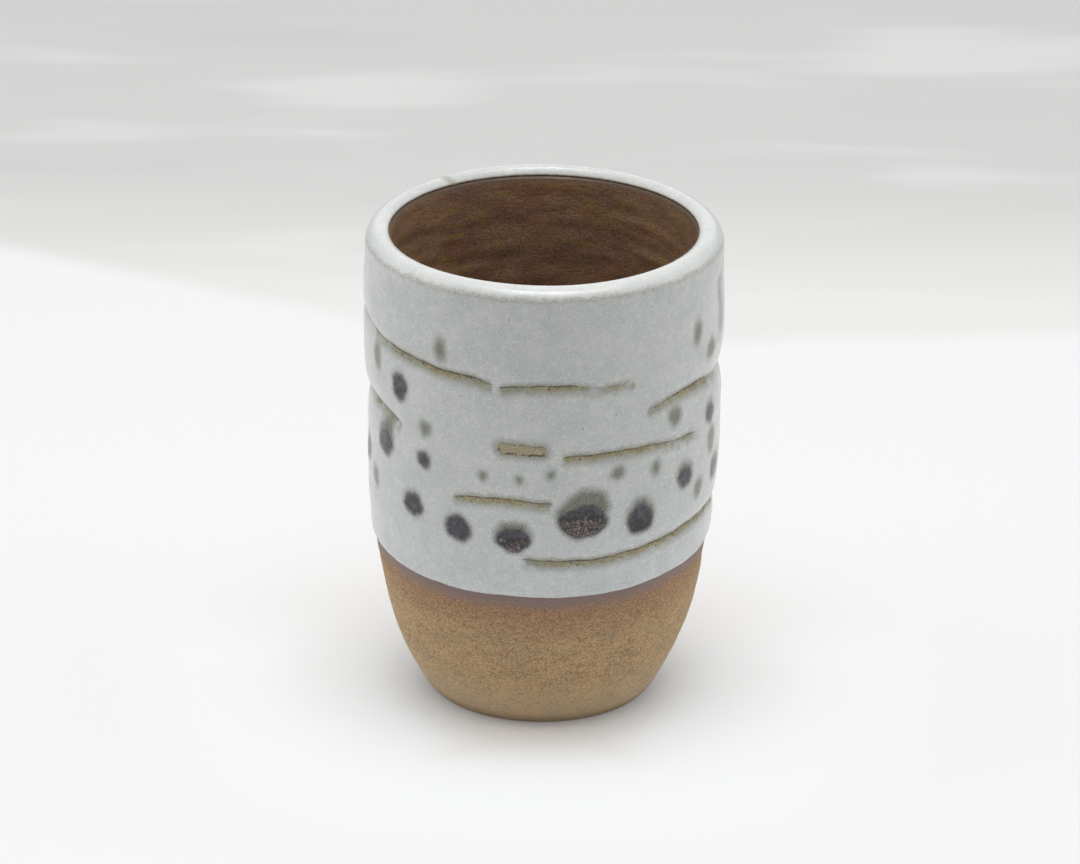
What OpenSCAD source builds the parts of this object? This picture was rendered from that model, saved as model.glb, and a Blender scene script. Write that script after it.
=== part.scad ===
// Straight-sided tea cup: thrown stoneware, cut ledges, pale outer glaze over a bare clay base,
// brown liner glaze and oxide spots. Millimetres, +Z up, origin at the centre of the foot.
// The front of the cup faces -Y. Azimuths are counted from the front, growing towards +X.

/* [Cup] */
// Height of the cup, from the table to the crown of the lip
cup_h = 93.5; // [84:0.5:104]
// Radius of the glazed wall at its widest
cup_r = 34; // [32:0.5:37]
// Radius of the clay foot at the table
foot_r = 20.8; // [18:0.2:23]
// Height at which the wall reaches its full width
belly_z = 76; // [68:0.5:80]
// Radius that the curve of the lower wall aims for
flare_r = 29.8; // [27:0.2:31]
// Height that the curve of the lower wall aims for
flare_z = 11.4; // [8:0.2:14]
// Height at which the upper wall begins to straighten
upright_z = 29.3; // [24:0.5:36]
// How far the wall draws in again below the lip
mouth_in = 0.15; // [0:0.05:0.6]

/* [Lip] */
// Thickness of the clay wall at the lip
lip_t = 4.5; // [3.6:0.1:5.4]
// Radius of the outer shoulder of the lip
lip_round = 2.2; // [1.6:0.1:2.6]
// Drop from the crown of the lip to the inner wall
lip_inner_drop = 1.8; // [1.2:0.1:2.6]

/* [Inside] */
// Thickness of the floor above the foot
floor_t = 7; // [5:0.5:9]
// Radius of the flat middle of the floor
floor_r = 10; // [6:0.5:13]
// Radius at which the floor turns up into the wall
floor_turn_r = 22; // [19:0.5:23]
// Height at which the inner wall begins to straighten
inner_upright_z = 22; // [19:0.5:30]
// Height at which the inner wall reaches the width of the mouth
inner_belly_z = 70; // [60:1:78]

/* [Foot] */
// Rounding of the bottom edge
foot_round = 1.2; // [0.6:0.1:2]
// Width of the flat ring that the cup stands on
foot_ring_w = 4.4; // [3:0.2:6]
// Depth of the turned hollow under the foot
foot_hollow_d = 1.3; // [0.6:0.1:2]

/* [Glaze] */
// Thickness of the pale outer glaze
glaze_t = 0.45; // [0.35:0.05:0.6]
// Thickness of the brown liner glaze
liner_t = 0.3; // [0.2:0.05:0.5]
// Mean height of the dip line where the outer glaze ends
dip_z = 33; // [26:0.5:36]
// How much lower the dip line hangs at the front than at the sides
dip_fall = 2.4; // [0:0.2:4]

/* [Ledges] */
// Depth of the deepest cut ledge
ledge_d = 0.9; // [0.6:0.05:1.2]
// Height of the line of bare clay right under the edge of a ledge
bare_h = 0.8; // [0.5:0.1:1.2]
// Depth of the scoop in the glaze just below that line
scoop_d = 0.36; // [0.2:0.02:0.44]
// Height over which the scoop runs out again
scoop_run = 5.2; // [4:0.2:7]
// Height of the bare clay patch at the front
patch_h = 2.4; // [1.6:0.1:3.2]
// Depth of the patch below the clay surface
patch_d = 0.25; // [0.1:0.05:0.4]
// Radius of the sweep that made the upright nick
nick_sweep_r = 14; // [10:0.5:18]

/* [Spots] */
// Radius of the largest oxide spot
spot_r = 4.5; // [3.6:0.1:5]

/* [Hidden] */
$fn = 96;

wall_steps = 34;
lip_steps = 6;
edge_steps = 4;
inner_steps = 20;

// Overrun that carries every cut clear of the surface that it leaves
overrun = 1;

// How far the slope of a scoop is carried on past the glaze
scoop_overrun = 0.12;

clay_r = cup_r - glaze_t;
crown_z = cup_h - glaze_t;
mouth_r = clay_r - mouth_in - lip_t;
crown_r = clay_r - mouth_in - lip_round;
shoulder_z = crown_z - lip_round;
inner_lip_z = crown_z - lip_inner_drop;
foot_hollow_r = foot_r - foot_round - foot_ring_w;

// The two glazes meet this many steps up the inner rounding of the lip
glaze_meet_steps = 2;

// The glaze thins out over this many steps where it ends on the lip
glaze_thin_steps = 3;

// The ledges: azimuth of the middle, half of the arc, height as a share of cup_h,
// tilt of the cut, depth as a share of ledge_d
ledge_shares = [
    [-56, 44, 0.820, -4.5, 1.00],
    [9, 23, 0.792, -1, 0.80],
    [72, 38, 0.745, 5, 1.00],
    [-76, 28, 0.691, -9, 0.85],
    [33, 30, 0.641, -2.3, 0.80],
    [-14, 18, 0.5455, 0, 0.75],
    [50, 58, 0.431, 4, 0.85],
    [150, 42, 0.790, -4, 1.00],
    [-138, 30, 0.735, 5, 0.90],
    [178, 32, 0.655, 3, 0.80],
    [128, 26, 0.560, -5, 0.85],
    [-118, 34, 0.500, 3, 0.90],
    [-168, 27, 0.545, -2, 0.75],
    [160, 36, 0.445, 2, 0.80]
];

// The cut that runs out through the lip at the back: the same values as a ledge
lip_cut_shares = [[-165, 24, 0.955, 16, 0.90]];

// The bare patch: azimuth of the middle, width in degrees, height as a share of cup_h
patch_azimuth = -6;
patch_angle = 16;
patch_z_share = 0.658;
patch_z = patch_z_share * cup_h;

// The upright nick: azimuth, lean from upright, height as a share of cup_h, depth as a share of ledge_d
nick_azimuth = 79;
nick_angle = 12;
nick_z_share = 0.862;
nick_d_share = 0.8;
nick_z = nick_z_share * cup_h;
nick_d = nick_d_share * ledge_d;

// How much longer the knife's own arc is than the arc that it leaves in the wall
arc_margin_share = 1.3;

// Steepness of the upper side of a cut, and of the two sides of the nick
ledge_lip_slope = 0.6;
nick_slope = 1.1;

// The spots: azimuth, height as a share of cup_h, radius as a share of spot_r
dark_spot_shares = [
    [-46, 0.495, 0.50],
    [-28, 0.470, 0.56],
    [-9, 0.466, 0.70],
    [14, 0.516, 1.00],
    [34, 0.492, 0.68],
    [53, 0.550, 0.48],
    [-52, 0.738, 0.49],
    [-61, 0.608, 0.62],
    [-41, 0.600, 0.34],
    [68, 0.655, 0.42],
    [76, 0.520, 0.55],
    [-80, 0.545, 0.53],
    [112, 0.650, 0.62],
    [132, 0.675, 0.80],
    [158, 0.700, 0.50],
    [-158, 0.455, 0.55],
    [-150, 0.590, 0.46],
    [-128, 0.605, 0.85],
    [-112, 0.595, 0.62],
    [-104, 0.750, 0.44]
];
olive_spot_shares = [
    [-66, 0.772, 0.36],
    [-40, 0.668, 0.28],
    [-19, 0.594, 0.20],
    [-7, 0.592, 0.16],
    [3, 0.606, 0.18],
    [25, 0.598, 0.28],
    [39, 0.590, 0.22],
    [47, 0.688, 0.34],
    [58, 0.846, 0.28],
    [68, 0.790, 0.38],
    [70, 0.590, 0.42],
    [62, 0.500, 0.34],
    [-70, 0.500, 0.36],
    [-34, 0.848, 0.26],
    [98, 0.560, 0.40],
    [122, 0.750, 0.30],
    [146, 0.705, 0.26],
    [171, 0.600, 0.30],
    [-158, 0.690, 0.38],
    [-118, 0.668, 0.28],
    [-97, 0.470, 0.34]
];

// Points of the outline

function bezier3(p, t) =
    pow(1 - t, 3) * p[0] + 3 * t * pow(1 - t, 2) * p[1] + 3 * t * t * (1 - t) * p[2] + pow(t, 3) * p[3];
function bezier2(p, t) = pow(1 - t, 2) * p[0] + 2 * t * (1 - t) * p[1] + t * t * p[2];

outer_handles = [[foot_r, 0], [flare_r, flare_z], [clay_r, upright_z], [clay_r, belly_z]];
inner_handles = [
    [floor_r, floor_t],
    [floor_turn_r, floor_t],
    [mouth_r, inner_upright_z],
    [mouth_r, inner_belly_z]
];

// The bottom edge ends this share of the way along the curve of the wall
foot_end_share = 0.045;
foot_handles = [[foot_r - foot_round, 0], [foot_r, 0], bezier3(outer_handles, foot_end_share)];
foot_edge = [for (i = [0 : edge_steps]) bezier2(foot_handles, i / edge_steps)];
lower_wall = [
    for (i = [1 : wall_steps])
        bezier3(outer_handles, foot_end_share + (1 - foot_end_share) * i / wall_steps)
];
upper_wall = [
    for (i = [1 : edge_steps])
        [
            clay_r - mouth_in * pow(i / edge_steps, 2),
            belly_z + (shoulder_z - belly_z) * i / edge_steps
        ]
];
lip_outer = [
    for (i = [1 : lip_steps])
        let (a = 90 * i / lip_steps)
            [crown_r + lip_round * cos(a), shoulder_z + lip_round * sin(a)]
];
lip_inner = [
    for (i = [lip_steps - 1 : -1 : 0])
        let (a = 90 * i / lip_steps)
            [
                crown_r - (crown_r - mouth_r) * cos(a),
                inner_lip_z + lip_inner_drop * sin(a)
            ]
];
cavity = [for (i = [inner_steps : -1 : 0]) bezier3(inner_handles, i / inner_steps)];

clay_outline = concat(
    [[0, foot_hollow_d], [foot_hollow_r - foot_hollow_d, foot_hollow_d], [foot_hollow_r, 0]],
    foot_edge, lower_wall, upper_wall, lip_outer, lip_inner, cavity, [[0, floor_t]]
);

// Radius of the clay wall at a height
function wall_r_at(z) = lookup(z, [for (p = concat(lower_wall, upper_wall)) [p[1], p[0]]]);

// A path moved out of the clay by a coat's thickness, which thins out towards one end
function path_normal(path, i) =
    let (d = path[min(i + 1, len(path) - 1)] - path[max(i - 1, 0)])
        [d[1], -d[0]] / norm(d);
function thinning(steps_from_end) = sqrt(1 - pow(1 - min(1, steps_from_end / glaze_thin_steps), 2));

// The outer glaze starts this far below the lowest point of the dip line, before it is cut there
dip_margin = 3;
coated_wall = concat(
    [for (p = lower_wall) if (p[1] > dip_z - dip_fall - dip_margin) p],
    upper_wall, lip_outer,
    [for (i = [0 : lip_steps - 1 - glaze_meet_steps]) lip_inner[i]]
);
glaze_outline = concat(
    coated_wall,
    [
        for (i = [len(coated_wall) - 2 : -1 : 0])
            coated_wall[i] + path_normal(coated_wall, i) * glaze_t * thinning(len(coated_wall) - 1 - i)
    ]
);

lined_wall = concat([for (i = [lip_steps - 1 - glaze_meet_steps : lip_steps - 1]) lip_inner[i]], cavity);
liner_outline = concat(
    lined_wall,
    [[0, floor_t], [0, floor_t + liner_t]],
    [
        for (i = [len(lined_wall) - 1 : -1 : 1])
            lined_wall[i] + path_normal(lined_wall, i) * liner_t * thinning(i)
    ]
);

// Tools

// Turns +X to an azimuth
module at_azimuth(azimuth) rotate([0, 0, azimuth - 90]) children();

// A knife ring with a V edge, set off-centre so that the cut fades out at both ends of its arc
module ledge_cutter(share) {
    half_arc = share[1];
    z = share[2] * cup_h;
    depth = share[4] * ledge_d;
    offset_r = depth / (1 - cos(half_arc));
    tip_r = wall_r_at(z) + glaze_t - depth + offset_r;
    reach = depth + overrun;
    scoop = scoop_d * share[4];
    scoop_end_z = -bare_h - scoop_run * (scoop + scoop_overrun) / scoop;
    at_azimuth(share[0])
        translate([0, 0, z])
            rotate([share[3], 0, 0])
                translate([-offset_r, 0, 0])
                    rotate([0, 0, -half_arc * arc_margin_share])
                        rotate_extrude(angle = 2 * half_arc * arc_margin_share)
                            translate([tip_r, 0])
                                polygon([
                                    [0, 0],
                                    [reach, reach * ledge_lip_slope],
                                    [reach, scoop_end_z],
                                    [depth + scoop_overrun, scoop_end_z],
                                    [depth - scoop, -bare_h]
                                ]);
}

// A narrow V disc that leaves one short upright nick
module nick_cutter() {
    reach = nick_d + overrun;
    at_azimuth(nick_azimuth)
        translate([wall_r_at(nick_z) + glaze_t - nick_d + nick_sweep_r, 0, nick_z])
            rotate([90 + nick_angle, 0, 0])
                rotate_extrude()
                    translate([nick_sweep_r, 0])
                        polygon([[0, 0], [-reach, reach * nick_slope], [-reach, -reach * nick_slope]]);
}

// The window in the glaze where the bare clay shows, with a shallow bed in the clay
module patch_cutter() {
    bed_r = wall_r_at(patch_z) - patch_d;
    at_azimuth(patch_azimuth - patch_angle / 2)
        translate([0, 0, patch_z])
            rotate_extrude(angle = patch_angle)
                translate([bed_r, -patch_h / 2])
                    square([cup_r + overrun - bed_r, patch_h]);
}

module wall_cutters() {
    for (share = concat(ledge_shares, lip_cut_shares)) ledge_cutter(share);
    nick_cutter();
    patch_cutter();
}

// Everything below the tilted surface that the cup was dipped to
module below_dip_line() {
    depth = dip_z + overrun;
    translate([0, 0, dip_z])
        rotate([atan(dip_fall / wall_r_at(dip_z)), 0, 0])
            translate([0, 0, -depth])
                cylinder(h = depth, r = 2 * cup_r);
}

module spot_cutters(shares) {
    for (share = shares) {
        z = share[1] * cup_h;
        start_r = wall_r_at(z) - spot_r;
        at_azimuth(share[0])
            translate([start_r, 0, z])
                rotate([0, 90, 0])
                    cylinder(h = spot_r + glaze_t + overrun, r = share[2] * spot_r);
    }
}

// The pale coat with its cuts, before the spots are taken out of it
module glazed_wall() {
    difference() {
        rotate_extrude() polygon(glaze_outline);
        wall_cutters();
        below_dip_line();
    }
}

// Sub-parts

module clay_body() {
    color("#9b7b55")
        difference() {
            rotate_extrude() polygon(clay_outline);
            wall_cutters();
        }
}

module outer_glaze() {
    color("#c3c8c6")
        difference() {
            glazed_wall();
            spot_cutters(concat(dark_spot_shares, olive_spot_shares));
        }
}

module liner_glaze() {
    color("#54402f")
        rotate_extrude() polygon(liner_outline);
}

module dark_oxide_spots() {
    color("#3c3b42")
        intersection() {
            glazed_wall();
            spot_cutters(dark_spot_shares);
        }
}

module olive_oxide_spots() {
    color("#80836d")
        intersection() {
            glazed_wall();
            spot_cutters(olive_spot_shares);
        }
}

clay_body();
outer_glaze();
liner_glaze();
dark_oxide_spots();
olive_oxide_spots();
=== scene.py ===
"""Looks of a thrown stoneware tea cup: pale outer glaze over a bare clay base, cut ledges, a brown
liner and oxide spots. Shapes are worked out in millimetres and scaled to metres as meshes are made.
Azimuths are degrees from the front, -Y, growing towards +X."""

import math

import bpy
import numpy as np
from mathutils import Matrix, Vector


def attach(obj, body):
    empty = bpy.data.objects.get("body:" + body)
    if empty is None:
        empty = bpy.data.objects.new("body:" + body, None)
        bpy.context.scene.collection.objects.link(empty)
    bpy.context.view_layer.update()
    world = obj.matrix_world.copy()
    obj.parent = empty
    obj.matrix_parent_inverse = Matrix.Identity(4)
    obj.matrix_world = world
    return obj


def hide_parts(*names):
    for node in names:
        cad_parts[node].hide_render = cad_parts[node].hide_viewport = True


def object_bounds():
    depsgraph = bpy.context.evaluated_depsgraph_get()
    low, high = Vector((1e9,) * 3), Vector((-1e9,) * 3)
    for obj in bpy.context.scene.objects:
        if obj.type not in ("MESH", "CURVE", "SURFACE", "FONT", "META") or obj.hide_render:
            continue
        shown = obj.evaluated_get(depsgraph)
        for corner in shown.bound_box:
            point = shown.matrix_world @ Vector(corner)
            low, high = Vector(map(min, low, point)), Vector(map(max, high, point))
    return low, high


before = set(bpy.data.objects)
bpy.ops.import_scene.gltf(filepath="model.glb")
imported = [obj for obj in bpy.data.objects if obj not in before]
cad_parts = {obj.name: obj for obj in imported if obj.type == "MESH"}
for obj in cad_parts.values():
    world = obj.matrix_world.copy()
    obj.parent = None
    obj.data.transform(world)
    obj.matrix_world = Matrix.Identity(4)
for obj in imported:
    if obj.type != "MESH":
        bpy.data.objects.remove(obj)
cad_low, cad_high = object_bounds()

MM = 0.001

# Outline of the clay, as in the CAD model but for a slightly wider, sharper foot and a rounder lip
CUP_H = cad_high.z / MM
CUP_R = cad_high.x / MM
GLAZE_T = 0.45
LINER_T = 0.3
FOOT_R = 21.1
FLARE_R = 29.8
FLARE_Z = 11.4
UPRIGHT_Z = 29.3
BELLY_Z = 76.0
MOUTH_IN = 0.15
LIP_T = 4.5
LIP_ROUND = 2.4
LIP_INNER_DROP = 1.8
FLOOR_T = 7.0
FLOOR_R = 10.0
FLOOR_TURN_R = 22.0
INNER_UPRIGHT_Z = 22.0
INNER_BELLY_Z = 70.0
FOOT_ROUND = 0.5
FOOT_RING_W = 5.4
FOOT_HOLLOW_D = 1.3
FOOT_END_SHARE = 0.045

CLAY_R = CUP_R - GLAZE_T
CROWN_Z = CUP_H - GLAZE_T
MOUTH_R = CLAY_R - MOUTH_IN - LIP_T
CROWN_R = CLAY_R - MOUTH_IN - LIP_ROUND
SHOULDER_Z = CROWN_Z - LIP_ROUND
INNER_LIP_Z = CROWN_Z - LIP_INNER_DROP
FOOT_HOLLOW_R = FOOT_R - FOOT_ROUND - FOOT_RING_W

# Handles of the curves from the foot up the wall, and from the floor of the bowl up its side
WALL = [(FOOT_R, 0), (FLARE_R, FLARE_Z), (CLAY_R, UPRIGHT_Z), (CLAY_R, BELLY_Z)]
BOWL = [(FLOOR_R, FLOOR_T), (FLOOR_TURN_R, FLOOR_T), (MOUTH_R, INNER_UPRIGHT_Z), (MOUTH_R, INNER_BELLY_Z)]

# The line that the cup was dipped to: its mean height, and how much lower it hangs at the front
DIP_Z = 33.0
DIP_FALL = 2.4

# Heights over which the coat's lower edge is rolled, and over which its rows lie close together
EDGE_ROLL = 0.6
EDGE_BAND = 1.2

# Angle up the inner side of the lip, in degrees, at which the outer glaze gives way to the liner
GLAZE_END_ANGLE = 35

# How much lower the whole rim sits and its front hangs, how much higher the rear of the lip stands,
# and the angle up its inner side where that begins
RIM_DROP = 0.21
FRONT_DIP = 0.28
REAR_LIFT = 0.6
REAR_LIFT_ANGLE = 50

# Columns of every mesh that goes round the cup, and of each oxide spot
COLUMNS = 400
AZIMUTHS = np.arange(COLUMNS) * 360 / COLUMNS
SPOT_COLUMNS = 64

# How far from a mark its distance is still told to the materials
FIELD_REACH = 3.0

# Cut ledges. line: (azimuth, height) along the edge. ends: degrees over which each end fades.
# inset: how far the wall has come in at the edge, drop: how much deeper the wall starts under it,
# rise: the height over which it comes in, run: the height over which it goes out again below.
# brown and tan: (azimuth, strength) of the dark break line and of the bare strip below it.
LEDGES = [
    dict(
        line=[(-114, 78.4), (-92, 77.9), (-78, 77.8), (-69, 77.0), (-62, 76.4), (-55, 76.1), (-46, 75.9),
              (-38, 75.4), (-22, 75.0), (-14, 74.2)],
        ends=(16, 7), inset=0.42, drop=0.26, rise=2.6, run=3.8,
        brown=[(-75, 0), (-58, 0.5), (-48, 1), (-22, 1), (-16, 0.5), (-13, 0)],
        tan=[(-90, 0), (-68, 0.12), (-58, 0.4), (-48, 0.6), (-32, 0.9), (-24, 0.5), (-14, 0.3)],
    ),
    dict(
        line=[(-16, 73.8), (-10, 74.2), (-2, 74.5), (5, 74.7), (11, 74.4), (16, 73.7), (21, 73.8),
              (33, 73.6)],
        ends=(5, 12), inset=0.1, drop=0.3, rise=2.6, run=3.4,
        brown=[(-14, 0.1), (-11, 0.7), (-8, 0.7), (-5, 0.3), (-1, 0.9), (8, 1), (11, 0.3), (14, 0)],
        tan=[(-16, 0.1), (-10, 0.3), (-3, 0.6), (8, 0.7), (13, 0.35), (19, 0.28), (26, 0.34), (30, 0.26),
             (33, 0)],
    ),
    dict(
        line=[(33, 67.2), (45, 68.3), (52, 68.6), (60, 68.4), (68, 68.0), (76, 67.4), (84, 66.9),
              (92, 66.7), (114, 67.0)],
        ends=(28, 14), inset=1.02, drop=0.28, rise=6.0, run=5.6,
        brown=[(34, 0), (38, 0.8), (42, 0.8), (48, 0.9), (58, 0.9), (65, 0.3), (72, 0)],
        tan=[(34, 0), (39, 0.4), (46, 0.6), (57, 1), (65, 0.6), (72, 0.2), (84, 0.08), (110, 0)],
    ),
    dict(
        line=[(-112, 62.6), (-92, 61.9), (-84, 62.1), (-75, 62.8), (-67, 62.7), (-61, 62.0), (-55, 61.4),
              (-49, 60.8)],
        ends=(14, 8), inset=0.85, drop=0.22, rise=7.4, run=5.0,
        brown=[(-70, 0), (-62, 0.25), (-53, 0.35), (-50, 0)],
        tan=[(-105, 0), (-95, 0.2), (-75, 0.4), (-56, 0.5), (-49, 0)],
    ),
    dict(
        line=[(4, 60.1), (18, 60.3), (26, 60.2), (34, 60.3), (43, 59.6), (54, 59.3), (63, 58.9)],
        ends=(6, 8), inset=0.14, drop=0.32, rise=2.6, run=3.4,
        brown=[(5, 0), (10, 0.5), (22, 0.9), (33, 0.9), (42, 0.3), (56, 0.45), (60, 0)],
        tan=[(4, 0), (8, 0.5), (14, 0.8), (33, 1), (42, 0.4), (56, 0.3), (63, 0)],
    ),
    dict(
        line=[(-32, 50.0), (-20, 51.1), (-13, 51.3), (-9, 51.2), (1, 50.8), (6, 50.5)],
        ends=(4, 4), inset=0.1, drop=0.3, rise=2.4, run=3.0,
        brown=[(-31, 0), (-27, 0.6), (-22, 1), (-8, 1), (2, 0.7), (5, 0)],
        tan=[(-31, 0), (-26, 0.6), (-22, 1), (-10, 1), (0, 0.5), (6, 0)],
    ),
    dict(
        line=[(-9, 38.9), (9, 38.5), (22, 38.5), (32, 39.0), (45, 39.5), (54, 39.9), (62, 40.2), (71, 40.4),
              (80, 40.4), (92, 39.8), (106, 39.6)],
        ends=(6, 14), inset=0.46, drop=0.26, rise=4.0, run=4.4,
        brown=[(-8, 0), (-3, 0.5), (4, 0.8), (22, 0.7), (50, 0.6), (64, 0.3), (74, 0)],
        tan=[(-9, 0), (-2, 0.3), (4, 0.6), (22, 0.6), (45, 0.9), (58, 0.8), (74, 0.5), (100, 0.2)],
    ),
    dict(
        line=[(110, 75.6), (130, 74.4), (150, 73.9), (170, 73.1), (190, 71.8)],
        ends=(10, 10), inset=0.4, drop=0.28, rise=3.2, run=4.0,
        brown=[(112, 0), (120, 0.6), (130, 0.9), (165, 1), (180, 0.7), (189, 0)],
        tan=[(111, 0), (120, 0.4), (140, 0.9), (170, 0.8), (189, 0)],
    ),
    dict(
        line=[(192, 67.2), (208, 68.1), (222, 68.7), (238, 69.4), (250, 69.6)],
        ends=(8, 10), inset=0.38, drop=0.26, rise=3.0, run=4.0,
        brown=[(193, 0), (200, 0.6), (215, 1), (235, 0.7), (248, 0)],
        tan=[(193, 0), (200, 0.4), (215, 0.8), (240, 0.6), (250, 0)],
    ),
    dict(
        line=[(148, 60.4), (162, 61.0), (178, 61.2), (196, 61.8), (208, 62.2)],
        ends=(7, 8), inset=0.14, drop=0.32, rise=2.6, run=3.4,
        brown=[(149, 0), (156, 0.6), (165, 0.9), (190, 1), (206, 0)],
        tan=[(149, 0), (156, 0.5), (170, 1), (195, 0.8), (207, 0)],
    ),
    dict(
        line=[(104, 53.6), (116, 53.1), (128, 52.3), (140, 51.6), (152, 51.2)],
        ends=(6, 7), inset=0.28, drop=0.28, rise=3.0, run=3.8,
        brown=[(105, 0), (112, 0.7), (120, 1), (138, 0.9), (150, 0)],
        tan=[(105, 0), (112, 0.5), (122, 0.9), (140, 0.8), (151, 0)],
    ),
    dict(
        line=[(-148, 45.9), (-134, 46.3), (-118, 46.8), (-102, 47.3), (-84, 47.8)],
        ends=(7, 9), inset=0.3, drop=0.28, rise=3.0, run=3.8,
        brown=[(-147, 0), (-140, 0.6), (-130, 1), (-108, 0.9), (-92, 0)],
        tan=[(-147, 0), (-140, 0.5), (-125, 0.9), (-105, 0.8), (-88, 0)],
    ),
    dict(
        line=[(166, 51.4), (180, 51.2), (192, 51.0), (206, 50.6), (217, 50.4)],
        ends=(5, 6), inset=0.12, drop=0.3, rise=2.4, run=3.0,
        brown=[(167, 0), (172, 0.7), (180, 1), (200, 1), (215, 0)],
        tan=[(167, 0), (172, 0.6), (180, 1), (205, 0.8), (216, 0)],
    ),
    dict(
        line=[(126, 41.0), (142, 41.3), (160, 41.6), (178, 42.0), (194, 42.4)],
        ends=(7, 8), inset=0.34, drop=0.28, rise=3.2, run=3.8,
        brown=[(127, 0), (134, 0.5), (145, 0.8), (175, 0.9), (190, 0)],
        tan=[(127, 0), (134, 0.5), (150, 0.9), (178, 0.8), (192, 0)],
    ),
]

# The bare clay patch at the front: azimuth and height of its middle, half sizes, corner radius, depth
PATCH_AZIMUTH = -6.3
PATCH_Z = 61.5
PATCH_HALF_W = 4.5
PATCH_HALF_H = 1.05
PATCH_CORNER_R = 0.9
PATCH_D = 0.30

# The upright nick at the right: (height, azimuth) along it, and how far the wall dips in towards it
NICK_LINE = [(74, 76.4), (76, 77.0), (78, 78.2), (80, 78.8), (82, 76.6), (85, 76.2), (88, 78.0)]
NICK_D = 0.5

# The cut that runs out through the lip at the rear left: (height, azimuth), and its depth
LIP_CUT_LINE = [(84, -188), (86, -172), (88.5, -158), (91, -148), (93.5, -142)]
LIP_CUT_D = 0.9

# How far the thrown wall stands out at its left and right, as (height, distance), and the degrees
# over which that fades
LEAN_LEFT = [
    (3, -0.2), (8, -0.25), (20, -0.15), (26, 0.0), (34, 0.15), (40, 0.15), (46, -0.2), (50, -0.3),
    (54, -0.6), (61, -0.6), (64, -0.1), (72, -0.2), (88, -0.3),
]
LEAN_RIGHT = [
    (3, -0.2), (9, -0.35), (14, -0.1), (20, 0.2), (24, 0.15), (28, 0.0), (42, 0.1), (48, 0.3),
    (53, 0.25), (58, 0.0), (70, 0.0), (74, 0.35), (79, 0.3), (83, 0.0),
]
LEAN_SPREAD = 38

# Radius of the largest oxide spot
SPOT_R = 4.5

# Oxide spots: azimuth, height as a share of CUP_H, radius as a share of SPOT_R, upright stretch,
# share of the upper half that is only haze, and strength of the metallic crust in the lower half
DARK_SPOTS = [
    (-46, 0.495, 0.50, 1.10, 0.2, 0.0), (-28, 0.470, 0.56, 1.00, 0.1, 0.0),
    (-9, 0.466, 0.70, 0.95, 0.5, 0.9), (14, 0.516, 1.00, 1.02, 0.9, 1.0),
    (34, 0.492, 0.68, 1.05, 0.4, 0.5), (53, 0.550, 0.48, 1.15, 0.6, 0.0),
    (-52, 0.738, 0.49, 1.10, 0.1, 0.2), (-61, 0.608, 0.62, 1.20, 0.8, 0.0),
    (-41, 0.600, 0.34, 1.00, 0.2, 0.0), (68, 0.655, 0.42, 1.15, 0.5, 0.0),
    (76, 0.520, 0.55, 1.10, 0.6, 0.0), (-80, 0.545, 0.53, 1.15, 0.4, 0.0),
    (112, 0.650, 0.62, 1.05, 0.3, 0.3), (132, 0.675, 0.80, 1.00, 0.8, 0.8),
    (158, 0.700, 0.50, 1.10, 0.2, 0.0), (-158, 0.455, 0.55, 1.00, 0.1, 0.0),
    (-150, 0.590, 0.46, 1.10, 0.3, 0.0), (-128, 0.605, 0.85, 1.00, 0.8, 0.9),
    (-112, 0.595, 0.62, 1.05, 0.4, 0.4), (-104, 0.750, 0.44, 1.10, 0.3, 0.0),
]
OLIVE_SPOTS = [
    (-66, 0.772, 0.36, 1.5), (-40, 0.668, 0.28, 1.2), (-19, 0.594, 0.20, 1.0),
    (-7, 0.592, 0.16, 1.0), (3, 0.606, 0.18, 1.1), (25, 0.598, 0.28, 1.0),
    (39, 0.590, 0.22, 1.3), (47, 0.688, 0.34, 1.2), (58, 0.846, 0.28, 1.8),
    (68, 0.790, 0.38, 1.2), (70, 0.590, 0.42, 1.3), (62, 0.500, 0.34, 1.2),
    (-70, 0.500, 0.36, 1.2), (-34, 0.848, 0.26, 1.7), (98, 0.560, 0.40, 1.1),
    (122, 0.750, 0.30, 1.4), (146, 0.705, 0.26, 1.2), (171, 0.600, 0.30, 1.0),
    (-158, 0.690, 0.38, 1.2), (-118, 0.668, 0.28, 1.3), (-97, 0.470, 0.34, 1.1),
]


# Small functions of numbers

def ramp(x, start, end):
    """0 before start, 1 after end, and smooth in between."""
    t = np.clip((x - start) / (end - start), 0, 1)
    return t * t * (3 - 2 * t)


def bell(x, middle, half_width):
    return np.exp(-((x - middle) / half_width) ** 2)


def wrapped(degrees):
    """The same angle, from -180 to 180."""
    return (degrees + 180) % 360 - 180


def through(points, x, soften=2.0):
    """Value at x of a line through the points, with its corners softened."""
    xs, ys = zip(*points)
    shifts = soften * np.array([-1.5, -0.5, 0.5, 1.5])
    return sum(np.interp(x + s, xs, ys) for s in shifts) / len(shifts)


def bezier(handles, t):
    """Points of a Bezier curve with any number of handles."""
    points = np.array(handles, float)[:, None, :] * np.ones((1, len(t), 1))
    t = np.asarray(t)[:, None]
    while len(points) > 1:
        points = points[:-1] * (1 - t) + points[1:] * t
    return points[0]


def waves(points, size, seed, stretch=(1, 1, 1), count=28):
    """A smooth random field over points in space, from about -1 to 1, with features of that size."""
    rng = np.random.default_rng(seed)
    heading = rng.normal(size=(count, 3))
    heading /= np.linalg.norm(heading, axis=1)[:, None]
    pitch = rng.uniform(0.7, 1.5, count) * 2 * math.pi / size
    phase = rng.uniform(0, 2 * math.pi, count)
    scaled = points * np.array(stretch)
    total = np.zeros(points.shape[:-1])
    for h, p, f in zip(heading, pitch, phase):
        total += np.sin(scaled @ h * p + f)
    return total / math.sqrt(count / 2)


# The wall

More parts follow.
